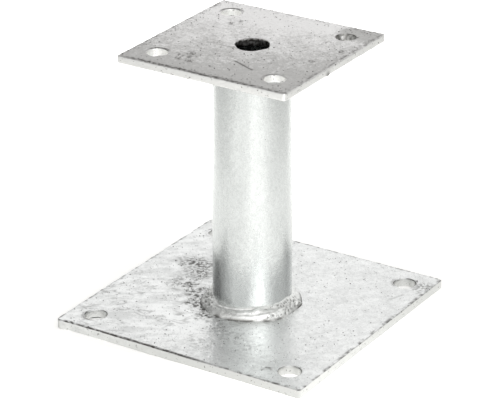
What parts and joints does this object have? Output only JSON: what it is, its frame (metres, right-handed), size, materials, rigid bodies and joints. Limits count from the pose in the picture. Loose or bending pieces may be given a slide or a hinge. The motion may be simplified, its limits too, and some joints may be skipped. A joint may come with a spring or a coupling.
{
  "type": "timber post base",
  "caption": "Galvanised steel foot for a timber post: a square plate that bolts to concrete, a smaller plate that carries the post, and a short welded tube between them.",
  "frame": {"origin": "on the tube's axis, at the underside of the base plate, which is the bottom centre of the bounding box", "axes": "+Z along the tube, from the base plate up to the head plate; X and Y parallel to the plates' sides"},
  "size_m": [0.15, 0.15, 0.15],
  "materials": {
    "galvanised_plate": "hot-dip galvanised, dull and mottled",
    "galvanised_tube": "hot-dip galvanised, satin",
    "galvanised_weld": "hot-dip galvanised, pale and lumpy"
  },
  "bodies": {
    "root": {"base_plate": "galvanised_plate", "tube": "galvanised_tube", "head_plate": "galvanised_plate", "base_weld": "galvanised_weld", "head_weld": "galvanised_weld"}
  },
  "joints": []
}
